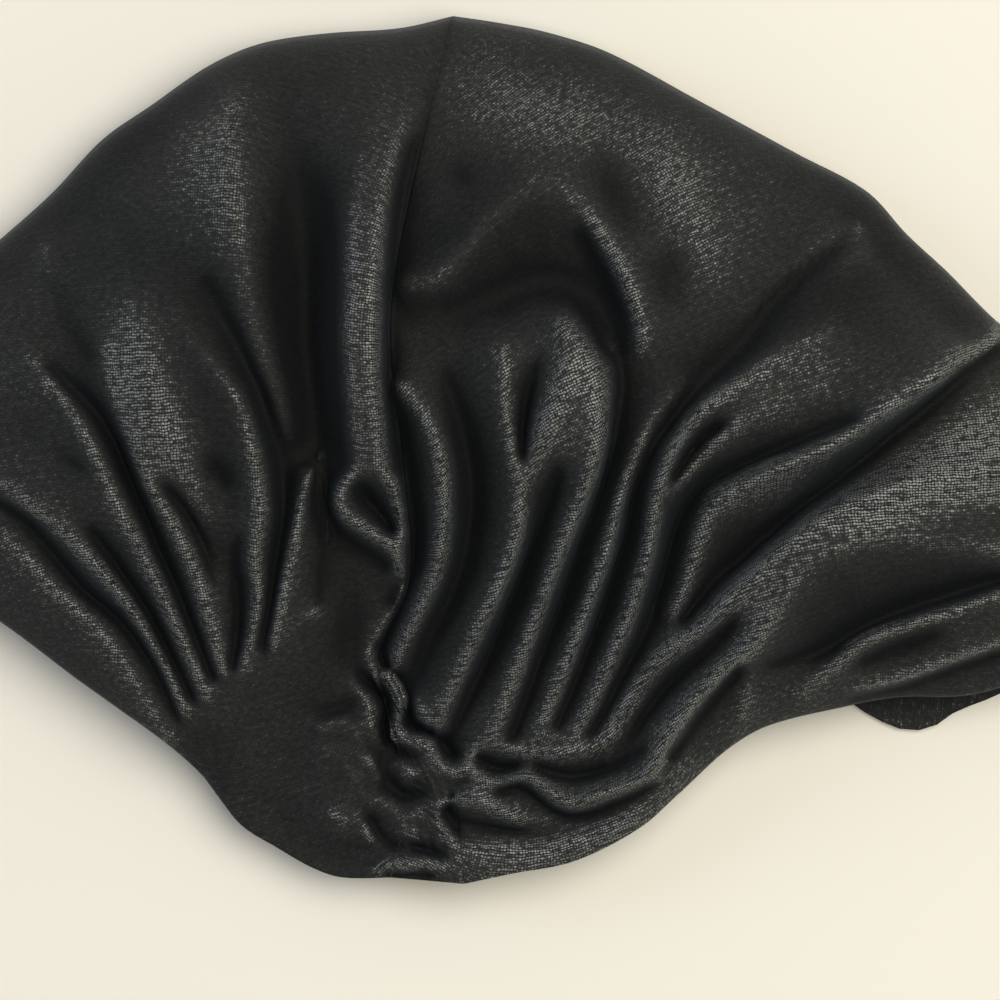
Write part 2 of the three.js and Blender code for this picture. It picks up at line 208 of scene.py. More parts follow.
def pillow(panel, columns, rows):
    """The panel's smooth grid, as an array of rows by columns by x, y, z in millimetres."""
    side, guides = panel["side"], panel["guides"]
    gap = np.array([side * SEAM_GAP / 2, 0])
    root_shares = np.array([0] + [g[1] for g in guides] + [1])
    places = np.array([0] + [g[0] for g in guides] + [1])
    roots = beside_ruche(root_shares, side * (ruche_half(root_shares) + SEAM_GAP / 2))
    edge_share = smooth(places, [0] + [g[6] for g in guides] + [1], columns, steady=True)

    front = rows[rows <= 1]
    lines = [along([tuple(roots[0])] + panel["rim"], front)]
    for (_, _, heel, foot, knee, tip, edge), start in zip(guides, roots[1:]):
        end = along(panel["crown"], np.array([edge]))[0]
        lines.append(smooth(STATIONS, [tuple(start), heel, foot, knee, tip, tuple(end)], front))
    lines.append(smooth(STATIONS, SEAM, front) + gap)
    plan = smooth(places, np.array(lines), columns, steady=True).transpose(1, 0, 2)
    first = smooth(places, root_shares, columns, steady=True)
    plan[0] = beside_ruche(first, side * (ruche_half(first) + SEAM_GAP / 2))
    crown = along(panel["crown"], edge_share)
    crown[-1] = np.array(SEAM[-1]) + gap
    plan += (crown - plan[-1])[None] * front[:, None, None] ** EDGE_PULL

    across = np.sin(math.pi / 2 * columns**FLANK)
    share = smooth(STATIONS, DOME, front, steady=True)
    height = RIM_HEIGHT + (DOME_HEIGHT - RIM_HEIGHT) * share[:, None] * across[None, :]
    roll = np.sqrt(np.maximum(0, 1 - np.clip((front - ROLL_START) / (1 - ROLL_START), 0, 1) ** 2))[:, None]
    height = EDGE_HEIGHT + (height - EDGE_HEIGHT) * roll
    grid = [np.dstack([plan, height])]

    back = (rows[rows > 1] - 1)[:, None, None]
    nape = np.array(NAPE_RIM) + (np.array(NAPE_SEAM) - NAPE_RIM) * columns[:, None] + gap
    pull = ((1 - columns) ** REAR_RIM_PULL)[None, :, None]
    bow = along(panel["back"], back[:, 0, 0])[:, None, :] - (crown[0] + (nape[0] - gap - crown[0]) * back)
    under = crown[None] + (nape - crown)[None] * back + pull * bow
    inset = np.clip(np.linalg.norm(under - crown[None], axis=2) / EDGE_TURN, 0, 1)
    low = EDGE_HEIGHT * (1 - np.sqrt(np.maximum(0, 1 - (1 - inset) ** 2)))
    grid.append(np.dstack([under, low]))
    return np.vstack(grid), np.vstack([roll, np.zeros((len(back), 1))])

print("the strip of gathers is", round(2 * RUCHE_HALF[0], 1), "mm wide at the rim")

# %% [markdown]
# The folds are drawn as lines on the front view: crests that hold the cloth up and creases that pin it
# down. Each line's course is noted on a drawing grid with five steps to the millimetre, x to the right and
# y downward, whose point (530, 449.5) is the frame's origin. Next to the course stands the cloth's rise
# over the smooth pillow at the line's start, middle and end, and how soft the cloth bends there, both in
# millimetres.

# %% The lines of the left panel
LINES_LEFT = [
    # the five folds along the rim and the creases between them
    ([(172, 742), (150, 710), (128, 672), (108, 640), (75, 606), (48, 580), (20, 552), (0, 535)],
      (1.5, 3, 2), 0.9),
    ([(178, 722), (165, 690), (150, 660), (130, 630), (110, 610), (85, 590), (60, 560), (30, 523),
      (0, 503)], (-1, -2.5, -1.5), 0.8),
    ([(184, 712), (168, 672), (150, 637), (130, 603), (100, 567), (62, 530), (30, 505), (0, 478)],
      (2, 4, 2), 0.8),
    ([(192, 702), (180, 678), (164, 645), (147, 612), (128, 582), (108, 552), (85, 520)],
      (-1, -2.5, 0), 0.8),
    ([(95, 478), (75, 462), (50, 446), (20, 420)], (0, 1, 0), 0.8),
    ([(207, 696), (196, 668), (181, 634), (167, 600), (155, 572), (140, 540), (122, 505), (107, 472),
      (92, 440), (72, 405), (52, 380), (30, 355)], (2, 4.5, 1), 0.8),
    ([(212, 680), (203, 655), (190, 622), (175, 585), (158, 545), (146, 510), (132, 475), (118, 440),
      (100, 412), (75, 390), (50, 365)], (-1, -3, -1), 0.8),
    ([(224, 672), (216, 642), (207, 610), (199, 578), (185, 545), (168, 515), (152, 488), (138, 455),
      (126, 420), (117, 385), (112, 350)], (2, 4, 3), 1),
    ([(218, 590), (205, 548), (192, 517), (176, 495), (160, 478)], (0, -2, 0), 0.6),
    ([(212, 540), (200, 508), (188, 482), (176, 450), (162, 415), (148, 375), (140, 340), (138, 310)],
      (0, 4, 3), 2),
    ([(212, 455), (222, 475), (235, 490)], (0, -1.5, 0), 1.5),
    ([(205, 500), (225, 508), (242, 500)], (0, 1, 0), 0.7),
    ([(232, 670), (238, 640), (240, 600), (238, 560), (240, 530)], (-1, -2.5, 0), 0.8),
    # the tall fold with the hollow on its right
    ([(240, 672), (250, 645), (258, 615), (261, 590), (256, 565), (258, 540), (264, 512), (261, 480),
      (256, 448), (247, 415), (234, 388), (214, 363), (192, 340), (172, 310)], (2, 5, 2), 0.9),
    ([(262, 650), (270, 610), (278, 570), (283, 535), (286, 500), (280, 465), (272, 430), (262, 392),
      (245, 352), (225, 315), (208, 285)], (-1, -3, -1), 1.2),
    ([(297, 450), (291, 420), (278, 386), (262, 346), (250, 300), (242, 250), (236, 200), (230, 150),
      (235, 100)], (0, 4, 4), 2.5),
    ([(328, 540), (324, 500), (316, 460), (308, 420), (304, 380), (301, 330), (300, 280), (300, 230),
      (298, 180), (292, 130), (286, 90)], (-4, -7, 0), 3),
    ([(334, 470), (328, 430), (322, 380), (320, 330), (321, 280), (322, 230), (320, 180), (314, 130)],
      (-4, -7, 0), 3),
    ([(272, 644), (282, 590), (292, 548), (301, 512), (310, 482), (322, 453)], (3, 4, 1), 0.7),
    ([(274, 644), (290, 628), (305, 617), (320, 612)], (2.5, 2.5, 2), 0.6),
    ([(322, 600), (324, 560), (326, 520), (332, 480)], (-1, -2, -2), 0.8),
    # the broad fold beside the seam, and the loop that it ends in
    ([(360, 462), (356, 430), (353, 390), (351, 340), (352, 290), (354, 240), (362, 190), (376, 140),
      (395, 90)], (4, 6, 0), 1.4),
    ([(384, 462), (382, 430), (379, 390), (377, 340), (378, 290), (381, 240), (387, 190), (398, 140),
      (412, 100)], (4.5, 6, 0), 1),
    ([(353, 474), (342, 487), (338, 500), (343, 513), (357, 524), (372, 533), (388, 544), (399, 557),
      (404, 575), (400, 595), (390, 615), (378, 637), (369, 656)], (4, 4.5, 3), 0.5),
    ([(355, 470), (375, 468), (388, 475), (397, 488), (402, 510), (404, 535), (401, 556)],
      (4, 4.5, 4), 0.5),
    ([(360, 486), (368, 500), (380, 512), (392, 530)], (-1, -2, -1), 0.5),
    ([(328, 500), (334, 522), (352, 540), (372, 552), (388, 565)], (-2.5, -3, -1), 0.6),
    ([(345, 580), (350, 620), (350, 660)], (-1.5, -2, -1), 2.5),
    ([(40, 240), (55, 290), (75, 330), (95, 360)], (-0.5, -1.5, -1), 1.2),
    # the crown turns down early along its left edge, and the brow towards its rim
    ([(0, 275), (50, 222), (100, 170), (150, 128), (200, 95)], (-3, -3.5, -2), 3.2),
    ([(200, 735), (225, 770), (265, 812), (320, 848), (375, 862)], (-2, -3, -2), 3.2),
]
print(len(LINES_LEFT), "lines")

# %% [markdown]
# The right panel has more folds, and deeper ones: four pleats side by side, long folds that run out to the
# side, and a crown that has sunk in beside the seam. They are drawn as lines in the same way.

# %% The lines of the right panel
LINES_RIGHT = [
    # the fold beside the seam
    ([(388, 678), (397, 655), (409, 628), (424, 600), (436, 572), (442, 545), (445, 512), (445, 482),
      (440, 452), (430, 425), (414, 402), (398, 387)], (3, 6, 3), 1),
    ([(378, 650), (388, 628), (402, 600), (413, 572), (418, 545), (414, 510), (409, 475), (404, 440),
      (398, 410)], (-1, -2, -2), 0.7),
    ([(404, 700), (413, 680), (424, 652), (438, 620), (452, 590), (462, 560), (469, 520), (470, 480),
      (464, 440), (454, 400), (446, 375)], (-1, -3.5, -2), 1.2),
    # the four pleats that lie side by side, each with its crease
    ([(434, 740), (444, 710), (455, 684), (467, 658), (479, 632), (493, 603), (506, 575), (516, 548),
      (521, 518), (520, 488), (514, 455), (508, 420), (505, 385), (503, 350)], (2.5, 5.5, 2), 1),
    ([(450, 738), (463, 710), (476, 680), (488, 655), (499, 628), (511, 598), (523, 568), (534, 538),
      (545, 508), (555, 480), (560, 460)], (-0.6, -4, 0), 0.4),
    ([(524, 470), (523, 440), (525, 410), (532, 380), (540, 350)], (0, -2, 0), 0.6),
    ([(522, 500), (529, 470), (538, 435), (550, 405), (563, 375), (570, 345)], (4, 6, 3), 1.6),
    ([(489, 745), (501, 715), (513, 682), (524, 652), (534, 625), (544, 597), (555, 567), (567, 536),
      (581, 505), (593, 474), (601, 442), (603, 410), (598, 378), (583, 348), (562, 322)],
      (2.5, 5.5, 3), 1),
    ([(510, 740), (517, 725), (527, 697), (537, 667), (547, 640), (557, 613), (567, 585), (578, 552),
      (591, 517), (603, 482), (612, 442), (618, 405), (620, 370), (612, 340)], (-0.6, -4, -3), 0.4),
    ([(536, 745), (545, 718), (557, 690), (569, 660), (579, 633), (588, 608), (597, 582), (607, 552),
      (614, 520), (622, 490), (634, 458), (650, 425), (668, 400), (690, 380)], (2.5, 5, 0), 1),
    ([(556, 728), (568, 700), (580, 670), (590, 642), (600, 615), (609, 588), (618, 560), (627, 530),
      (633, 495), (645, 462), (658, 435), (675, 410)], (-0.6, -4, 0), 0.4),
    ([(570, 743), (583, 722), (596, 697), (608, 668), (619, 640), (630, 610), (640, 578), (648, 550),
      (653, 518), (657, 490), (667, 460), (681, 432), (698, 410), (720, 393), (750, 375), (790, 350),
      (830, 335)], (2.5, 6, 2), 0.9),
    ([(660, 505), (676, 482), (693, 460), (712, 441), (737, 425), (765, 415), (800, 400)], (3, 4, 1), 0.8),
    ([(668, 490), (684, 462), (702, 440), (726, 422)], (0, -2.2, 0), 0.5),
    ([(590, 738), (605, 710), (620, 680), (636, 650), (648, 622), (657, 595), (664, 568), (671, 540),
      (683, 510), (702, 486), (735, 470), (780, 450), (830, 430), (870, 415)], (-0.6, -4, 0), 0.9),
    # the long folds that run out to the side
    ([(672, 612), (683, 590), (690, 565), (695, 540), (702, 517), (714, 500), (735, 488), (760, 474),
      (795, 460), (835, 440), (880, 415), (920, 392), (960, 365), (1000, 338)], (4, 6.5, 5), 1.2),
    ([(682, 622), (695, 604), (717, 580), (745, 560), (775, 533), (800, 510), (830, 487), (865, 455),
      (900, 425), (940, 390), (975, 358), (1000, 342)], (-2, -6, -3), 0.9),
    ([(594, 750), (610, 730), (625, 706), (640, 682), (653, 664), (672, 648), (694, 632), (712, 613),
      (728, 592), (748, 568), (768, 548), (795, 528), (830, 505), (870, 492), (920, 478), (1000, 470)],
      (3, 6, 3), 1.3),
    ([(610, 765), (630, 740), (648, 712), (664, 690), (682, 672), (702, 654), (722, 634), (742, 612)],
      (-1, -3, 0), 0.8),
    ([(645, 778), (660, 748), (676, 722), (694, 700), (714, 680), (733, 661), (750, 642), (768, 618),
      (784, 595), (800, 568), (830, 550), (880, 535), (940, 545), (1000, 550)], (3, 5.5, 4), 1),
    ([(752, 668), (790, 660), (835, 646), (880, 622), (940, 600), (1000, 580)], (0, -3.5, -2), 1),
    ([(665, 768), (682, 745), (700, 717), (720, 690), (738, 668)], (-1, -2.5, -1), 0.6),
    ([(800, 692), (830, 667), (860, 640), (890, 628), (930, 615), (1000, 592)], (2, 3, 3), 0.8),
    ([(744, 684), (746, 700), (744, 722)], (1, 1.5, 1), 0.5),
    ([(850, 668), (890, 650), (945, 630)], (0, -2, 0), 1),
    ([(850, 690), (900, 680), (950, 663), (1000, 645)], (1, 2, 2), 0.7),
    ([(850, 700), (900, 686), (950, 668), (1000, 652)], (-0.5, -1.5, -1.5), 0.6),
    # where the pleats are caught down above the rim
    ([(474, 746), (487, 744), (520, 752), (555, 756), (590, 750), (612, 736)], (3, 3, 2.5), 0.7),
    ([(478, 757), (486, 766), (500, 772), (520, 766)], (-0.8, -2, -0.8), 0.42),
    ([(536, 768), (556, 776), (580, 778), (612, 768), (645, 750)], (-1, -3.2, -1.2), 0.9),
    ([(470, 762), (480, 774), (500, 783), (522, 776), (540, 784), (556, 799), (572, 806), (594, 796),
      (636, 782), (670, 762)], (3, 4, 2), 0.5),
    ([(498, 792), (520, 788), (536, 798), (556, 812), (580, 818), (620, 804), (655, 786)],
      (-0.8, -2.4, -0.6), 0.6),
    ([(440, 806), (460, 799), (480, 802), (502, 812), (520, 823)], (3, 3.5, 1.5), 0.5),
    ([(446, 818), (466, 824), (492, 830), (530, 834), (570, 832)], (-1, -2, -0.5), 0.6),
    ([(460, 850), (500, 850), (550, 848), (600, 835), (650, 805), (690, 765)], (1.5, 1.5, 1), 2),
    # the sunken crown: its arched upper edge, its floor and the sharp ridge on its right
    ([(402, 287), (432, 286), (460, 262), (480, 235), (500, 212), (525, 192), (545, 186), (565, 193),
      (582, 210)], (1.5, 3.5, 3), 1.4),
    ([(418, 318), (450, 312), (490, 300), (525, 288), (552, 282), (585, 302), (612, 350)],
      (-3, -6, -6), 3.2),
    ([(566, 192), (584, 212), (602, 243), (616, 268), (630, 298), (638, 328), (640, 352)],
      (3, 4, 1.5), 0.8),
    ([(580, 235), (598, 265), (612, 298), (622, 330), (625, 365)], (-2, -4, -2), 1),
    ([(605, 140), (608, 170), (620, 210), (640, 240)], (-1, -2, 0), 2.5),
    ([(665, 260), (667, 280), (668, 300)], (-1.5, -1.5, -1), 2),
    ([(455, 160), (460, 172), (466, 184)], (-1, -1, -1), 1.5),
    ([(640, 110), (665, 150), (685, 200), (695, 250), (705, 290)], (0, 2, 1), 3),
    ([(864, 225), (842, 243), (819, 261), (796, 280), (775, 300), (758, 320), (745, 345)],
      (-1, -3, -3), 0.42),
    ([(842, 226), (815, 249), (790, 270), (765, 292), (740, 320)], (0, -1.4, -1), 1),
    ([(872, 250), (845, 262), (820, 280), (795, 303), (776, 325)], (0, -1.4, -1), 1),
    ([(745, 345), (715, 375), (690, 400), (655, 440)], (-3, -3.5, -3.5), 0.9),
    # the crown turns down early along its right edge
    ([(790, 165), (830, 190), (870, 225), (905, 268), (950, 315), (980, 335)], (-2, -4.5, -3), 3.2),
]
print(len(LINES_RIGHT), "lines")

# %% [markdown]
# At the gathers the cloth is crumpled too finely to be drawn fold by fold. The lines give the rope of cloth
# down the middle, the bumps that stand out and the hollows that are dark, and the seam's groove runs on
# from there to the crown.

# %% The crumples at the gathers, and the seam's groove
LINES_GATHERS = [
    # the rope of cloth that zigzags down the middle, and the grooves on its two sides
    ([(368, 655), (376, 672), (388, 681), (398, 697), (399, 712), (395, 728), (405, 739), (424, 739),
      (433, 748), (440, 764), (453, 774), (466, 768), (473, 755)], (2, 3.2, 3.5), 0.45),
    ([(379, 652), (390, 668), (404, 688), (411, 705), (408, 724), (420, 728), (436, 738), (446, 752),
      (456, 758)], (-1, -2, -2), 0.45),
    ([(356, 668), (372, 688), (386, 705), (383, 728), (392, 748), (408, 756)], (-0.5, -2.5, -0.5), 0.45),
    ([(345, 681), (362, 694), (372, 712), (374, 732), (380, 748)], (0.5, 2.5, 0.5), 0.5),
    ([(395, 764), (410, 774), (426, 778)], (1, 2, 1), 0.8),
    ([(416, 700), (421, 716), (429, 728)], (2, 3, 2), 0.5),
    # the bumps and hollows under it
    ([(466, 780), (450, 789), (440, 799), (436, 812), (444, 830), (455, 848), (452, 872)],
      (1.7, 1.9, 1), 0.45),
    ([(452, 798), (446, 812), (452, 826), (462, 840)], (-1, -1.4, -0.5), 0.45),
    ([(377, 760), (386, 782), (398, 795), (414, 798), (428, 792)], (-0.4, -1.4, -0.4), 0.5),
    ([(386, 806), (396, 815), (408, 818), (420, 812), (430, 804)], (1.4, 1.9, 1.4), 0.5),
    ([(364, 818), (374, 832), (386, 845), (400, 850)], (-0.8, -1.5, -1), 0.6),
    ([(402, 832), (414, 836), (426, 832)], (1.4, 1.7, 1), 0.6),
    ([(410, 848), (428, 853), (446, 858)], (-1, -1.5, -0.5), 0.5),
    ([(372, 872), (388, 864), (404, 868), (424, 863), (440, 868), (456, 864)], (1, 1.7, 1), 0.5),
    ([(384, 878), (400, 876), (418, 878), (432, 876)], (-1, -1, -1), 0.4),
    # crumples on the cloth at its left
    ([(320, 728), (338, 722), (354, 726), (368, 736)], (1.4, 1.7, 1.4), 0.42),
    ([(324, 748), (336, 758), (346, 768), (362, 776)], (1.4, 1.7, 1.4), 0.42),
    ([(350, 744), (364, 754), (374, 766), (378, 780)], (1.4, 1.7, 1.4), 0.42),
    ([(300, 706), (322, 714), (344, 708), (360, 702)], (-0.2, -0.8, -0.2), 1.2),
    ([(328, 812), (338, 818), (347, 826)], (1, 1.4, 1), 0.42),
    ([(350, 806), (360, 816), (366, 830), (372, 842)], (1, 1.4, 1), 0.42),
    ([(336, 792), (352, 792), (368, 798), (382, 806)], (1, 1.2, 1), 0.6),
    # the seam's groove
    ([(372, 650), (400, 590), (411, 550), (407, 510), (403, 465), (395, 430), (390, 377), (392, 310),
      (394, 280), (398, 240), (402, 210), (407, 180), (415, 150), (425, 130), (430, 100), (440, 70),
      (447, 40), (453, 15)], (-1.5, -2.2, -1.8), 0.6),
]
print(len(LINES_GATHERS), "lines")

# %% [markdown]
# Light and shade are painted into the cloth's colour: it is painted brighter where light falls on it, and
# darker where it lies in shade. Most of that follows the folds, and this table adds the broad places. Each
# row is again a course on the drawing grid, and the change along it, in tenths of the full painted light.

# %% Where light is painted onto the cloth, and where shade is
PAINTED_LIGHT_TABLE = [  # course, (start, middle, end) in tenths
    ([(60, 270), (110, 255), (160, 240)], (-2, -2.5, -2)),
    ([(470, 90), (560, 120), (640, 160), (700, 240), (700, 310)], (2, 3, 0)),
    ([(760, 505), (850, 490), (940, 475), (1010, 455)], (3, 9, 10)),
    ([(700, 650), (740, 610), (790, 565)], (1, 2.5, 1)),
    ([(760, 400), (810, 370), (850, 345)], (1, 2, 0)),
    ([(128, 335), (150, 400), (185, 470)], (4, 5.5, 4)),
    ([(70, 320), (100, 390), (130, 460), (160, 510)], (-2, -3, -2)),
    ([(180, 330), (205, 395), (222, 460)], (-2.5, -3.5, -2.5)),
    ([(374, 200), (368, 300), (366, 440)], (-2.6, -1, -1)),
    ([(570, 350), (575, 400), (550, 450)], (1, 2, 1)),
    ([(480, 850), (560, 845), (640, 800)], (1.5, 2.5, 2)),
    ([(188, 112), (205, 175), (228, 245)], (1.5, 2, 0.5)),
    ([(604, 150), (612, 185), (622, 215)], (-2, -3, -1.5)),
    ([(665, 262), (668, 285), (672, 300)], (-2, -2.5, -1.5)),
    ([(452, 155), (460, 172), (470, 188)], (-2, -3, -2)),
    ([(470, 34), (560, 50), (640, 75), (720, 118), (800, 165)], (-1, -2, -1.5)),
    ([(0, 275), (50, 222), (100, 175), (190, 95), (300, 40), (420, 20)], (-1, -2.5, -1.5)),
    ([(0, 600), (100, 690), (200, 760), (270, 800), (340, 850)], (-1, -1, -1)),
    ([(425, 320), (470, 280), (540, 255), (595, 320)], (-2, -3, -2.5)),
    ([(430, 305), (500, 305), (560, 295), (600, 330)], (-1.5, -2.5, -2)),
    ([(288, 120), (298, 300), (312, 440), (320, 520)], (-1.5, -6, -4)),
    ([(326, 180), (326, 300), (330, 450)], (-1.5, -6, -4)),
    ([(446, 340), (468, 440), (466, 520), (452, 590)], (-2, -3.5, -2)),
    ([(800, 345), (860, 322), (910, 330)], (-1.5, -2.5, -1.5)),
    ([(790, 160), (860, 220), (940, 300)], (-1, -2, -1)),
    ([(650, 440), (760, 335), (850, 275), (880, 330)], (-3, -4, -3)),
    ([(780, 640), (850, 615), (930, 590)], (-2, -3, -2)),
    ([(350, 560), (345, 610), (330, 680), (300, 740)], (-2, -2.5, -2)),
    ([(440, 650), (520, 600), (580, 580), (640, 600)], (-2.5, -3.6, -2.5)),
    ([(700, 380), (655, 440), (628, 500), (608, 550)], (-3.5, -4.5, -2)),
    ([(408, 300), (440, 270), (478, 232), (515, 202), (545, 190)], (-3, -4.5, -2.5)),
    ([(790, 600), (880, 588), (990, 600)], (-2, -3.5, -2.5)),
    ([(960, 372), (890, 425), (830, 480), (760, 535), (700, 590)], (-2, -4, -2)),
    ([(900, 530), (960, 520), (1010, 515)], (-1, -2, -2)),
    ([(320, 700), (370, 760), (420, 840)], (-1.5, -2.5, -2)),
    ([(165, 230), (185, 290), (215, 350)], (-2, -3, -2)),
]
print(len(PAINTED_LIGHT_TABLE), "places")

# %% [markdown]
# Between the lines the cloth hangs like a stretched membrane: every point settles at the mean height of its
# neighbours, while a weak pull draws it back to the pillow, so that a fold fades away from its crest. The
# membrane is settled on a coarse raster first and then on finer ones. It has a sharp edge at each line,
# which is rounded by as much as the line's softness says.

# %% The membrane between the lines
ORIGIN_ON_GRID = np.array([530, 449.5])
STEPS_PER_MM = 5
AREA = np.array([[-142, -94], [142, 96]])  # mm
RASTERS = [4, 2, 1, 0.5]  # mm
HEIGHT_AT = [0, 0.5, 1]  # shares of a line where its table gives the rise
FADE_LENGTH = 14  # mm over which a fold sinks back to the pillow
HOLD = 8  # how firmly a line holds the cloth
FIRM_RISE = 2  # mm from which a line holds with its full strength: where its rise fades out, it lets go
LEAST_HOLD = 0.003  # where a line's rise is nothing
PLAIN_SOFTNESS, SOFTNESS_PULL = 2.0, 1e-4  # mm far from any line, and how weakly the softness is drawn to it
ROUNDS, STEP_SHARE = 160, 0.95  # how often each raster is settled, and by how much of the way each time


def settle(lines, column):
    """A membrane held by the lines, as a 0.5 mm raster. Column 1 of a line is its rise, 2 its softness."""
    found = None
    for cell in RASTERS:
        count = np.round((AREA[1] - AREA[0]) / cell).astype(int)[::-1] + 1
        weight, pull = np.zeros(count), np.zeros(count)
        for line in lines:
            course = (np.array(line[0], float) - ORIGIN_ON_GRID) / STEPS_PER_MM * (1, -1)
            length = np.linalg.norm(np.diff(course, axis=0), axis=1).sum()
            share = np.linspace(0, 1, max(4, int(length / cell * 3)))
            spot = np.round((along(course, share) - AREA[0]) / cell).astype(int)
            spot = np.clip(spot, 0, count[::-1] - 1)
            height = smooth(HEIGHT_AT, line[1], share, steady=True)
            value = height if column == 1 else np.full(len(share), line[2])
            hold = np.clip((height / FIRM_RISE) ** 2, LEAST_HOLD, 1)
            np.add.at(weight, (spot[:, 1], spot[:, 0]), hold)
            np.add.at(pull, (spot[:, 1], spot[:, 0]), hold * value)
        aim = pull / np.maximum(weight, 1e-9)
        weight = np.minimum(weight, 1) * HOLD
        back = (cell / FADE_LENGTH) ** 2 if column == 1 else SOFTNESS_PULL
        rest = 0.0 if column == 1 else PLAIN_SOFTNESS
        if found is None:
            found = np.full(count, rest)
        else:
            old = np.linspace(0, 1, found.shape[0]), np.linspace(0, 1, found.shape[1])
            new = np.linspace(0, 1, count[0]), np.linspace(0, 1, count[1])
            half = np.array([np.interp(new[1], old[1], row) for row in found])
            found = np.array([np.interp(new[0], old[0], row) for row in half.T]).T
        for _ in range(ROUNDS):
            near = np.pad(found, 1, mode="edge")
            near = near[:-2, 1:-1] + near[2:, 1:-1] + near[1:-1, :-2] + near[1:-1, 2:]
            settled = (near + weight * aim + back * rest) / (4 + weight + back)
            found = found + STEP_SHARE * (settled - found)
    return found


sharp = settle(LINES_LEFT + LINES_RIGHT + LINES_GATHERS, 1)
print("the membrane stands from", sharp.min().round(1), "to", sharp.max().round(1), "mm")

# %% [markdown]
# Each fold is then rounded. The whole membrane is blurred to four softnesses, and every place takes the two
# that are nearest to its own. This firm, waxed cloth bends a little more sharply than the table says.

# %% Rounding the folds
SOFTNESSES = [0.3, 0.6, 1.2, 2.4]  # mm
CRISP = 0.75  # how much of its noted softness a fold keeps
FULLNESS = 1.25  # how much more the cloth stands up than the lines say


def soften(raster, mm):
    """The raster with everything smaller than mm rounded off."""
    size = [2 * n for n in raster.shape]
    padded = np.pad(raster, [(0, n) for n in raster.shape], mode="symmetric")
    waves = [np.fft.fftfreq(n, RASTERS[-1])[:, None] if i == 0 else np.fft.rfftfreq(n, RASTERS[-1])[None]
             for i, n in enumerate(size)]
    gain = np.exp(-2 * (math.pi * mm) ** 2 * (waves[0] ** 2 + waves[1] ** 2))
    return np.fft.irfft2(np.fft.rfft2(padded) * gain, size)[: raster.shape[0], : raster.shape[1]]


softness = settle(LINES_LEFT + LINES_RIGHT + LINES_GATHERS, 2)
softness = np.clip(CRISP * softness, SOFTNESSES[0], SOFTNESSES[-1])
level = np.interp(np.log(softness), np.log(SOFTNESSES), np.arange(len(SOFTNESSES)))
folds = sum(soften(sharp, mm) * np.clip(1 - abs(level - i), 0, 1) for i, mm in enumerate(SOFTNESSES))
folds = FULLNESS * folds
print("folds from", folds.min().round(1), "to", folds.max().round(1), "mm over the pillow")

# %% [markdown]
# Cloth is never quite smooth between its folds. Low uneven waves lie all over it, and stronger and finer
# ones near the gathers, where the real cloth is crumpled. They come from seeded noise, so that they are the
# same each time.

# %% Rumples, and crumples near the gathers
GATHERS, CRUMPLED = np.array([-28, -64]), 11  # mm: the middle of the gathers, and how far the crumples reach


def rumples(seed, mm, height):
    """Small uneven waves, about mm across and height high."""
    noise = np.random.default_rng(seed).standard_normal(folds.shape)
    noise = soften(noise, mm)
    return noise * height / noise.std()


folds += rumples(seed=4, mm=1.6, height=0.06) + rumples(seed=7, mm=4, height=0.14)
up, right = np.indices(folds.shape) * RASTERS[-1]
reach = np.hypot(right + AREA[0, 0] - GATHERS[0], up + AREA[0, 1] - GATHERS[1])
folds += rumples(seed=11, mm=1.1, height=0.34) * np.exp(-((reach / CRUMPLED) ** 2))


def read(raster, points):
    """A raster's value at each point of the plan."""
    spot = np.clip((points - AREA[0]) / RASTERS[-1], 0, np.array(raster.shape[::-1]) - 1.001)
    i = spot.astype(int)
    x, y = (spot - i)[..., 0], (spot - i)[..., 1]
    low = raster[i[..., 1], i[..., 0]] * (1 - x) + raster[i[..., 1], i[..., 0] + 1] * x
    high = raster[i[..., 1] + 1, i[..., 0]] * (1 - x) + raster[i[..., 1] + 1, i[..., 0] + 1] * x
    return low * (1 - y) + high * y


def rise(points):
    """How high the folded cloth stands over the pillow, in mm."""
    return read(folds, points)


print("over the pillow along the seam:", rise(np.array(SEAM)).round(1), "mm")

# %% [markdown]
# Light is painted onto whatever stands out, so each point gets a share from 0, painted shade deep in a
# crease, to 1, a painted highlight on a crest. A crest counts by how far it stands over the cloth near it,
# narrow ones most, and the table of painted light and shade comes on top.

# %% How much light is painted at each point
FLAT_SHARE = 0.4  # the painted light share where the cloth is flat
NARROW, NARROW_RISE = 1.3, 2.2  # mm: a sharp crest's surroundings, and the rise over them that counts as 1
BROAD, BROAD_RISE = 5, 15  # mm: the same for a broad fold
PAINTED_LIGHT_BLUR = 3  # mm over which each place of painted light and shade fades out
TENTHS = 10  # the table of worn places counts in tenths

painted_light_raster = FLAT_SHARE + (folds - soften(folds, NARROW)) / NARROW_RISE
painted_light_raster += (folds - soften(folds, BROAD)) / BROAD_RISE
painted_light_raster = np.clip(painted_light_raster + soften(settle(PAINTED_LIGHT_TABLE, 1), PAINTED_LIGHT_BLUR) / TENTHS, 0, 1)


def painted_light_at(points):
    """The share of painted light, from 0, painted shade deep in a crease, to 1, a painted highlight on a
    crest.
    """
    return read(painted_light_raster, points)


print("half of the cloth has a share over", np.median(painted_light_raster).round(2))

# %% [markdown]
# Cloth is cut flat, and its threads run straight in the flat piece. So each panel's outer sheet is unfolded
# with the least stretch, and the flat plan becomes its UV map, in millimetres. The weave then follows the
# cloth over every fold, and the unfolded area is the cloth that the panel was cut from.

# %% Unfolding a sheet
UNFOLD_STEP = 3  # a panel is unfolded on every third thread, and read between them
SEEN_ROWS = 0.4, 0.8  # shares of the rows between which the flat plan is turned to lie as the cloth does


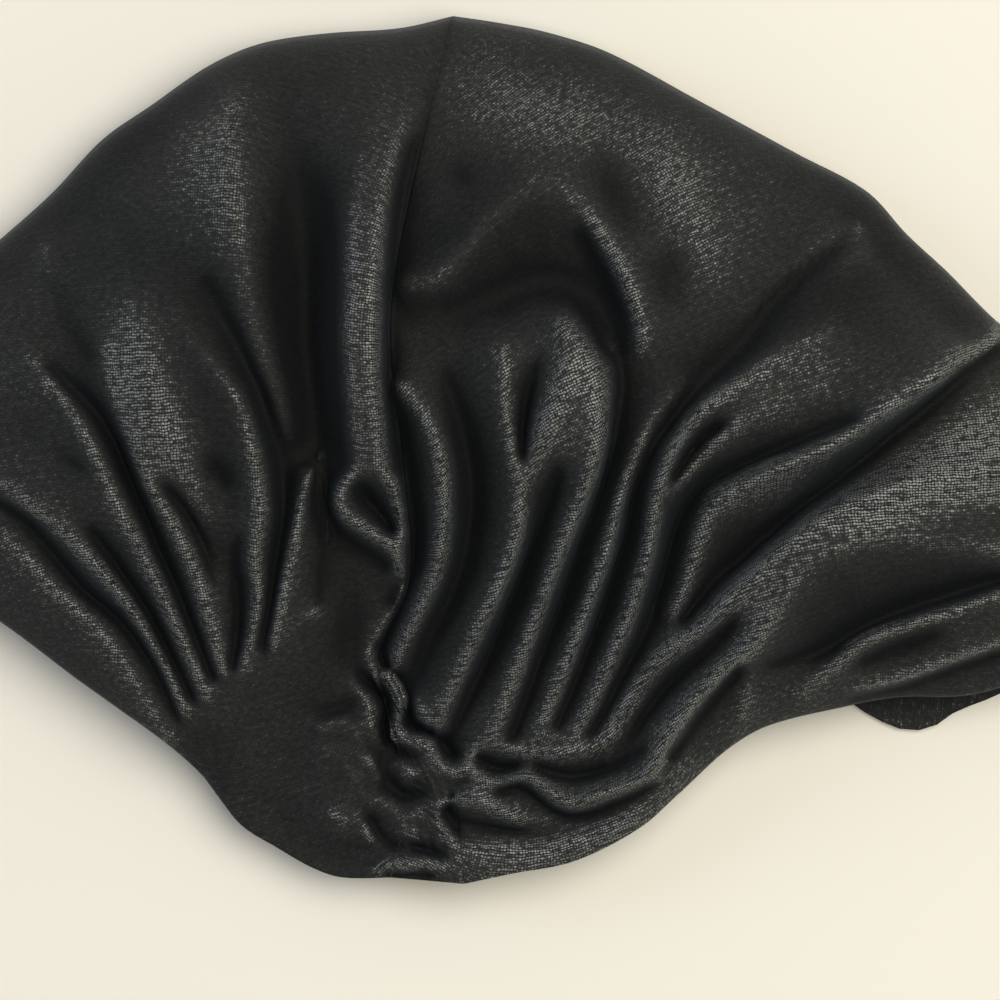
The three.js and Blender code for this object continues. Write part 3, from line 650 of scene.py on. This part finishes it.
def sheet_mesh(name, grid):
    rows, columns = grid.shape[:2]
    at = np.arange(rows * columns).reshape(rows, columns)
    quads = np.dstack([at[:-1, :-1], at[:-1, 1:], at[1:, 1:], at[1:, :-1]]).reshape(-1, 4)
    mesh = bpy.data.meshes.new(name)
    mesh.from_pydata(grid.reshape(-1, 3).tolist(), [], quads.tolist())
    return mesh, quads


def turned_area(points, quads):
    """Area of a net of quads in plan, negative where the net is mirrored."""
    a, b, c, d = (points[quads[:, k]] for k in range(4))
    return ((c - a)[:, 0] * (d - b)[:, 1] - (c - a)[:, 1] * (d - b)[:, 0]).sum() / 2


def unfold(name, grid, grain, step=UNFOLD_STEP):
    """The flat plan of a sheet in mm, point for point, turned so that its weft rises by grain degrees."""
    picks = [np.unique(np.append(np.arange(0, n, step), n - 1)) for n in grid.shape[:2]]
    mesh, quads = sheet_mesh(name, grid[np.ix_(*picks)])
    sheet = bpy.data.objects.new(name, mesh)
    bpy.context.scene.collection.objects.link(sheet)
    bpy.ops.object.select_all(action="DESELECT")
    bpy.context.view_layer.objects.active = sheet
    sheet.select_set(True)
    mesh.uv_layers.new(name="flat")
    bpy.ops.object.mode_set(mode="EDIT")
    bpy.ops.mesh.select_all(action="SELECT")
    bpy.ops.uv.unwrap(method="MINIMUM_STRETCH", margin=0)
    bpy.ops.object.mode_set(mode="OBJECT")
    loops = np.zeros(len(mesh.loops) * 2)
    mesh.uv_layers["flat"].data.foreach_get("uv", loops)
    corners = np.zeros(len(mesh.loops), int)
    mesh.loops.foreach_get("vertex_index", corners)
    flat = np.zeros((len(mesh.vertices), 2))
    flat[corners] = loops.reshape(-1, 2)
    real = sum(polygon.area for polygon in mesh.polygons)
    size = turned_area(flat, quads)
    flat *= math.sqrt(real / abs(size))
    bpy.data.objects.remove(sheet)
    bpy.data.meshes.remove(mesh)
    front = quads[: len(quads) // 2]
    if turned_area(grid[np.ix_(*picks)].reshape(-1, 3), front) * size < 0:
        flat[:, 0] *= -1  # seen from the cloth's other face

    flat = flat.reshape(len(picks[0]), len(picks[1]), 2)
    top = slice(*(int(share * len(picks[0])) for share in SEEN_ROWS))
    here, there = flat[top].reshape(-1, 2), grid[np.ix_(*picks)][top, :, :2].reshape(-1, 2)
    here, there = here - here.mean(0), there - there.mean(0)
    turn = math.atan2((here[:, 0] * there[:, 1] - here[:, 1] * there[:, 0]).sum(), (here * there).sum())
    turn -= math.radians(grain)
    flat = flat @ np.array([[math.cos(turn), math.sin(turn)], [-math.sin(turn), math.cos(turn)]])
    every_column = np.array([smooth(picks[1], row, np.arange(grid.shape[1])) for row in flat])
    return smooth(picks[0], every_column, np.arange(grid.shape[0])), real


square = np.array([(0, 0), (1, 0), (1, 1), (0, 1)])
corners = np.array([[0, 1, 2, 3]])
print("a square, and the other way round:", turned_area(square, corners), turned_area(square[::-1], corners))

# %% [markdown]
# A panel becomes a wall by adding an inner sheet, a cloth's thickness in along the pillow's own normals.
# Those normals change slowly, so the inner sheet repeats every fold and never cuts through the outer one.

# %% From a grid to a closed wall of cloth
def normals(grid):
    along_u = np.gradient(grid, axis=1)
    along_v = np.gradient(grid, axis=0)
    out = np.cross(along_u, along_v)
    return out / np.maximum(np.linalg.norm(out, axis=2, keepdims=True), 1e-12)


def wall(name, outer, inner, flat):
    """A closed wall from two grids of the same size, its faces turned outward, with flat as its UV map."""
    # each point keeps its share of painted light and shade, for the material to paint with
    painted_shine = np.tile(painted_light_at(outer.reshape(-1, 3)[:, :2]), 2)
    rows, columns = outer.shape[:2]
    count = rows * columns
    at = np.arange(count).reshape(rows, columns)
    quads = np.dstack([at[:-1, :-1], at[:-1, 1:], at[1:, 1:], at[1:, :-1]]).reshape(-1, 4)
    border = np.concatenate([at[0, :-1], at[:-1, -1], at[-1, :0:-1], at[:0:-1, 0]])
    ahead = np.roll(border, -1)
    edge = np.column_stack([ahead, border, border + count, ahead + count])
    faces = np.vstack([quads, quads[:, ::-1] + count, edge])
    mesh = bpy.data.meshes.new(name)
    points = np.concatenate([outer.reshape(-1, 3), inner.reshape(-1, 3)])
    mesh.from_pydata((points * MM).tolist(), [], faces.tolist())
    places = np.concatenate([flat.reshape(-1, 2)] * 2)
    corners = np.zeros(len(mesh.loops), int)
    mesh.loops.foreach_get("vertex_index", corners)
    mesh.uv_layers.new(name="flat").data.foreach_set("uv", places[corners].ravel())
    mesh.attributes.new("painted_light", "FLOAT", "POINT").data.foreach_set("value", painted_shine)
    work = bmesh.new()
    work.from_mesh(mesh)
    bmesh.ops.recalc_face_normals(work, faces=work.faces)
    work.to_mesh(mesh)
    work.free()
    piece = bpy.data.objects.new(name, mesh)
    bpy.context.scene.collection.objects.link(piece)
    for polygon in mesh.polygons:
        polygon.use_smooth = True
    print(name, len(mesh.polygons) * 2, "triangles")
    return piece


# %% [markdown]
# The two panels are the cap itself: soft cloth that runs from the open rim over the crown and back under to
# the nape. A simulation would drape it in its own way and not in the photograph's, so each panel is its
# pillow raised by the folds. The rows of its grid stand closest where the cloth bends most, at the gathers
# and at the crown's edge.

# %% The left and the right panel
COLUMNS, FRONT_ROWS, BACK_ROWS = 226, 172, 46
FRONT_CROWDING, BACK_CROWDING = 1.2, 1.25  # 1 would space the rows evenly


def panel_piece(name, panel):
    columns = np.linspace(0, 1, COLUMNS)
    front = np.linspace(0, 1, FRONT_ROWS) ** FRONT_CROWDING
    rows = np.concatenate([front, 1 + np.linspace(0, 1, BACK_ROWS + 1)[1:] ** BACK_CROWDING])
    grid, roll = pillow(panel, columns, rows)
    out = normals(grid) * -panel["side"]
    outer = grid.copy()
    outer[:, :, 2] += rise(grid[:, :, :2]) * roll
    flat, area = unfold(name, outer, panel["grain"])
    inner = outer - out * CLOTH
    inner[:, :, 2] = np.maximum(inner[:, :, 2], CLOTH)  # at the back it lies on the outer sheet
    piece = wall(name, outer, inner, flat)
    size = np.ptp(flat.reshape(-1, 2), axis=0)
    print(name, "unfolds to", size.round(), "mm, area", round(area), "mm2")
    return piece, size, area


left_panel, left_size, left_area = panel_piece("left_panel_cloth", LEFT)
right_panel, right_size, right_area = panel_piece("right_panel_cloth", RIGHT)

# %% [markdown]
# The gathered strip: the cloth is drawn up on an elastic, so it stands in short puckers. They are uneven,
# and they swap sides along the zigzag groove of the drawing. The strip hangs on the same membrane as the
# panels, so the cloth runs on from one to the other without a step.

# %% The gathered strip at the brow
RUCHE_ROWS, RUCHE_COLUMNS = 220, 70
RUCHE_LENGTH = 46  # mm
RUCHE_DEPTH = 4.5  # mm from the rim's height down to its inner side
RUCHE_TOP = 0.985  # share of the strip's line at which it ends
PUCKER_PITCH, PUCKER_RISE = 4.6, 0.35  # mm


def ruche_piece():
    share = np.linspace(0, RUCHE_TOP, RUCHE_ROWS)
    side = np.linspace(-1, 1, RUCHE_COLUMNS)
    outer = np.zeros((RUCHE_ROWS, RUCHE_COLUMNS, 3))
    for j, s in enumerate(side):
        outer[:, j, :2] = beside_ruche(share, s * ruche_half(share))
    up, across = share[:, None], side[None, :]
    phase = up * RUCHE_LENGTH / PUCKER_PITCH + 0.9 * np.sin(across * 3 + up * 17)  # the puckers wander
    strength = 0.4 + 0.6 * np.sin(up * 23 + across * 2) ** 2  # and some are lower than others
    pucker = np.sin(2 * math.pi * phase) * strength
    outer[:, :, 2] = RIM_HEIGHT + rise(outer[:, :, :2]) + PUCKER_RISE * pucker * (1 - side**2)
    inner = outer.copy()
    inner[:, :, 2] = RIM_HEIGHT - RUCHE_DEPTH
    flat, area = unfold("front_ruche", outer, 0, step=1)
    return wall("front_ruche_cloth", outer, inner, flat), np.ptp(flat.reshape(-1, 2), axis=0), area


front_ruche, ruche_size, ruche_area = ruche_piece()
print("front_ruche_cloth unfolds to", ruche_size.round(), "mm")

# %% [markdown]
# The cloth and the floor need colours and nodes, so two small helpers come first. One turns a screen colour
# to linear light, and the other adds any kind of node with its settings, values and links.

# %% Colours and nodes
def linear(code):
    """An sRGB hex colour as linear RGBA."""
    channels = [int(code[i : i + 2], 16) / 255 for i in (1, 3, 5)]
    return tuple(c / 12.92 if c <= 0.04045 else ((c + 0.055) / 1.055) ** 2.4 for c in channels) + (1,)


def add(tree, kind, inputs=(), **settings):
    """Adds a node. An input takes a value, a socket, or a node, of which it takes the first output."""
    node = tree.nodes.new(kind)
    for key, value in settings.items():
        setattr(node, key, value)
    for key, value in (inputs if isinstance(inputs, dict) else dict(enumerate(inputs))).items():
        if isinstance(value, bpy.types.Node):
            value = value.outputs[0]
        if isinstance(value, bpy.types.NodeSocket):
            tree.links.new(value, node.inputs[key])
        else:
            node.inputs[key].default_value = value
    return node


print("the cloth's dark tone in linear light:", np.round(linear("#0a0b0b"), 4))

# %% [markdown]
# The cloth is a plain weave of slubby yarn, dyed black, with a slightly waxed finish. Slubs are thick places
# in the yarn. They are drawn as noise that is long along a thread and as narrow as the thread across it,
# and they push the threads beside them apart. A broad noise lets the threads stray, as they do in cloth
# that has been worn.

# %% The slubs and the strays
WARP_PITCH, WEFT_PITCH = 0.6, 0.56  # mm from one thread to the next
SLUB_LENGTH = 14  # mm
SLUB_SHIFT = 0.25  # threads by which a slub pushes its neighbours aside
WANDER, STRAY = 0.35, 2  # how often in a mm a thread strays to one side, and by how many threads

cloth = bpy.data.materials.new("waxed_black_weave")
cloth.use_nodes = True
weave = cloth.node_tree
flat_plan = add(weave, "ShaderNodeUVMap", uv_map="flat")


def streaks(wide, high, seed, detail=2.0):
    """Noise in patches that are wide along the weft and high along the warp, in mm."""
    place = add(weave, "ShaderNodeMapping", {
        "Vector": flat_plan, "Scale": (1 / wide, 1 / high, 1), "Location": (seed, seed, 0),
    })
    return add(weave, "ShaderNodeTexNoise", {
        "Vector": place, "Scale": 1.0, "Detail": detail, "Roughness": 0.6,
    })


weft_slub = streaks(SLUB_LENGTH, WEFT_PITCH, 3.7)
warp_slub = streaks(WARP_PITCH, SLUB_LENGTH, 8.1)
stray = add(weave, "ShaderNodeTexNoise", {"Vector": flat_plan, "Scale": WANDER, "Detail": 2.0})
stray = add(weave, "ShaderNodeSeparateXYZ", (stray.outputs["Color"],))
print("threads to the cm:", round(10 / WARP_PITCH, 1), "of warp,", round(10 / WEFT_PITCH, 1), "of weft")

# %% [markdown]
# Seen close, such a weave is a net: the weft's threads show most, the warp's show between them, and every
# other crossing is a little lower, because there the thread goes under. Each set of threads is a row of
# rounded humps, the absolute value of a sine.

# %% The net of threads
ROUNDING = 0.7  # a power below 1 makes a thread's top flatter than a sine
WARP_RELIEF = 0.65  # how much lower the cloth is between warp threads
UNDER_RELIEF = 0.25  # how much lower a crossing is where the thread goes under
WARP_SLUB, SLUB_RELIEF = 0.5, 1.2  # a warp slub's height to a weft one's, and a slub's to a thread's
on_plan = add(weave, "ShaderNodeSeparateXYZ", (flat_plan,))


def threads(way, pitch, slub):
    """The number of the thread at each place, and its height there, from 0 between threads to 1."""
    place = add(weave, "ShaderNodeMath", (on_plan.outputs[way], pitch), operation="DIVIDE")
    place = add(weave, "ShaderNodeMath", (slub, SLUB_SHIFT, place), operation="MULTIPLY_ADD")
    place = add(weave, "ShaderNodeMath", (stray.outputs[way], STRAY, place), operation="MULTIPLY_ADD")
    wave = add(weave, "ShaderNodeMath", (place, math.pi), operation="MULTIPLY")
    wave = add(weave, "ShaderNodeMath", (wave,), operation="SINE")
    wave = add(weave, "ShaderNodeMath", (wave,), operation="ABSOLUTE")
    wave = add(weave, "ShaderNodeMath", (wave, ROUNDING), operation="POWER")
    return add(weave, "ShaderNodeMath", (place,), operation="FLOOR"), wave


warp_number, warp = threads(0, WARP_PITCH, warp_slub)
weft_number, weft = threads(1, WEFT_PITCH, weft_slub)
under = add(weave, "ShaderNodeMath", (warp_number, weft_number), operation="ADD")
under = add(weave, "ShaderNodeMath", (under, 2.0), operation="FLOORED_MODULO")
under = add(weave, "ShaderNodeMath", (under, UNDER_RELIEF, 1 - UNDER_RELIEF), operation="MULTIPLY_ADD")
warp = add(weave, "ShaderNodeMath", (warp, WARP_RELIEF, 1 - WARP_RELIEF), operation="MULTIPLY_ADD")
woven = add(weave, "ShaderNodeMath", (weft, warp), operation="MULTIPLY")
woven = add(weave, "ShaderNodeMath", (woven, under), operation="MULTIPLY")
slub = add(weave, "ShaderNodeMath", (warp_slub, WARP_SLUB, weft_slub), operation="MULTIPLY_ADD")
relief = add(weave, "ShaderNodeMath", (slub, SLUB_RELIEF, woven), operation="MULTIPLY_ADD")
print("net of threads:", len(weave.nodes), "nodes")

# %% [markdown]
# The wax makes this cloth shine, and its highlights are painted in. Where the painted light share is high,
# every thread's top is painted as a bright speck, and a highlight is a field of specks. Where it isn't, the
# cloth is a dull, dark felt. A grainy noise, a little coarser than the threads, breaks up the border between
# the two and makes some threads brighter than others. Dark flecks of bare yarn run along the weft.

# %% Where highlights are painted
GRAIN = (0.42 / WARP_PITCH, 0.62 / WEFT_PITCH, 1)  # grains to the mm: they are longer along the weft
PAINTED_LIGHT_GRAIN = 0.9  # how much the grain counts beside the painted light share
FLECK = (6, 0.5)  # mm long and high

# painted light: shade painted into the creases and highlights onto the crests; lit darkens the creases
painted_light = add(weave, "ShaderNodeAttribute", attribute_name="painted_light").outputs["Fac"]
lit = add(weave, "ShaderNodeMapRange", (painted_light, -0.06, 0.65))
grain = add(weave, "ShaderNodeMapping", {"Vector": flat_plan, "Scale": GRAIN})
grain = add(weave, "ShaderNodeTexNoise", {"Vector": grain, "Scale": 1.0, "Detail": 3.0, "Roughness": 0.7})
painted_highlight = add(weave, "ShaderNodeMath", (grain, PAINTED_LIGHT_GRAIN, painted_light), operation="MULTIPLY_ADD")
painted_highlight = add(weave, "ShaderNodeMapRange", (painted_highlight, 0.8, 1.36, 0.05, 1.0), interpolation_type="SMOOTHSTEP")
spark = add(weave, "ShaderNodeMapRange", (grain, 0.38, 0.68, 0.0, 3.0))
top = add(weave, "ShaderNodeMapRange", (woven, 0.42, 1.0, 0.0, 1.75))
fleck = add(weave, "ShaderNodeMapRange", (streaks(*FLECK, 5.2, 0.0), 0.55, 0.66, 1.0, 0.15))
# painted specks: highlights painted onto the threads' tops where the painted light share is high
painted_specks = add(weave, "ShaderNodeMath", (top, spark), operation="MULTIPLY")
for factor in (fleck, painted_highlight, lit):
    painted_specks = add(weave, "ShaderNodeMath", (painted_specks, factor), operation="MULTIPLY")
print("with the wear:", len(weave.nodes), "nodes")

# %% [markdown]
# The painted specks set the colour, from the black of the dye to the grey of light on wax, and the
# strength of the reflection. Dull cloth stays grey all over, with shade painted darker into its creases.
# Where highlights are painted, the cloth is smoother and its threads stand out more. A trace of sheen
# stands for the fuzz of the yarn, and its blue tint is a painted reflection of bluish light.

# %% The colour, the shine and the relief
WEAVE_DEPTH = 0.1  # mm
DYE, LIGHT_ON_WAX = "#0a0b0b", "#5b5c58"  # the colours A and B of the mix, its inputs 6 and 7
FELT, FELT_UNDER_HIGHLIGHT = 0.28, -0.14  # how far from dye to light on wax dull cloth is, and how much less under a painted highlight
FELT_GRAIN, FELT_EVEN = 0.2, 0.77  # the grain's share in the felt, and the rest
SPECK_SHINE, LEAST_SHINE, MOST_SHINE = 1.8, 0.07, 1.6  # how strongly specks, dull cloth and all reflect
# the sheen's blue tint is a painted reflection of bluish light
FUZZ, BLUE_SHEEN_TINT = 0.05, "#cce0f4"

shader = weave.nodes["Principled BSDF"]
# the felt is the cloth's own grey, darkened by shade painted into the creases
felt_and_painted_shade = add(weave, "ShaderNodeMath", (spark, FELT_GRAIN, FELT_EVEN), operation="MULTIPLY_ADD")
felt_and_painted_shade = add(weave, "ShaderNodeMath", (lit, felt_and_painted_shade), operation="MULTIPLY")
felt_share = add(weave, "ShaderNodeMath", (painted_highlight, FELT_UNDER_HIGHLIGHT, FELT), operation="MULTIPLY_ADD")
bright = add(weave, "ShaderNodeMath", (felt_and_painted_shade, felt_share, painted_specks), operation="MULTIPLY_ADD")
tone = add(weave, "ShaderNodeMix", {0: bright, 6: linear(DYE), 7: linear(LIGHT_ON_WAX)}, data_type="RGBA")
weave.links.new(tone.outputs[2], shader.inputs["Base Color"])
rough = add(weave, "ShaderNodeMapRange", (painted_highlight, 0.0, 0.7, 0.62, 0.44))
weave.links.new(rough.outputs[0], shader.inputs["Roughness"])
depth = add(weave, "ShaderNodeMapRange", (painted_highlight, 0.0, 0.5, 0.3, 1.0))
bump = add(weave, "ShaderNodeBump", {"Height": relief, "Strength": depth, "Distance": WEAVE_DEPTH * MM})
weave.links.new(bump.outputs[0], shader.inputs["Normal"])
# the reflection's strength follows the painted specks, a painted highlight too
painted_shine = add(weave, "ShaderNodeMath", (painted_specks, SPECK_SHINE, LEAST_SHINE), operation="MULTIPLY_ADD")
painted_shine = add(weave, "ShaderNodeMath", (painted_shine, MOST_SHINE), operation="MINIMUM")
weave.links.new(painted_shine.outputs[0], shader.inputs["Specular IOR Level"])
shader.inputs["Sheen Weight"].default_value = FUZZ
shader.inputs["Sheen Tint"].default_value = linear(BLUE_SHEEN_TINT)
for piece in (left_panel, right_panel, front_ruche):
    piece.data.materials.append(cloth)
print("material", cloth.name, len(weave.nodes), "nodes")

# %% [markdown]
# The cap lies on a plain pale surface.

# %% The floor
FLOOR_SIZE = 6  # m
bpy.ops.mesh.primitive_plane_add(size=FLOOR_SIZE, location=(0, 0, 0))
floor = bpy.context.object
floor.name = "floor"
floor_material = bpy.data.materials.new("pale_paper")
floor_material.use_nodes = True
paper = floor_material.node_tree.nodes["Principled BSDF"]
paper.inputs["Base Color"].default_value = linear("#f5eee0")
paper.inputs["Roughness"].default_value = 0.9
floor.data.materials.append(floor_material)
print("floor", FLOOR_SIZE, "m wide")

# %% [markdown]
# The light is daylight in a room: a broad window above and to the right, and a weaker, bluer light that
# comes in low from the left. The room's walls light the cap from all sides, and its ceiling is dark,
# because a bright one would lay an even grey over cloth that faces the camera.

# %% The light
WALLS, CEILING = 0.8, 0.08  # how bright the room is low down and overhead
WALL_TOP, CEILING_START = 0.4, 0.75  # heights of a direction, from -1 straight down to 1 straight up


def soft_light(name, place, size, watts, colour):
    data = bpy.data.lights.new(name, "AREA")
    data.shape = "DISK"
    data.size = size
    data.energy = watts
    data.color = linear(colour)[:3]
    light = bpy.data.objects.new(name, data)
    light.location = place
    light.rotation_euler = Vector(place).to_track_quat("Z", "Y").to_euler()
    bpy.context.scene.collection.objects.link(light)


soft_light("window", place=(0.48, 0.2, 1.22), size=1.4, watts=17.2, colour="#fffdf6")
soft_light("doorway", place=(-1.0, 0.3, 0.6), size=0.5, watts=2.5, colour="#b4d0ff")
world = bpy.data.worlds.new("room")
world.use_nodes = True
room = world.node_tree
way = add(room, "ShaderNodeSeparateXYZ", (add(room, "ShaderNodeTexCoord").outputs["Generated"],)).outputs[2]
walls = add(room, "ShaderNodeMapRange", (way, WALL_TOP, CEILING_START, WALLS, CEILING))
room.nodes["Background"].inputs["Color"].default_value = linear("#f0f1ea")
room.links.new(walls.outputs[0], room.nodes["Background"].inputs["Strength"])
bpy.context.scene.world = world
bpy.context.scene.view_settings.view_transform = "Standard"
print("two lights and a room")

# %% [markdown]
# Every piece rides on the cap's one body and takes the place of its CAD node.

# %% Joining the pieces to the frame
for piece, node in ((left_panel, "left_panel"), (right_panel, "right_panel"), (front_ruche, "front_ruche")):
    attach(piece, "root")
    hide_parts(node)

print("3 pieces ride on root")
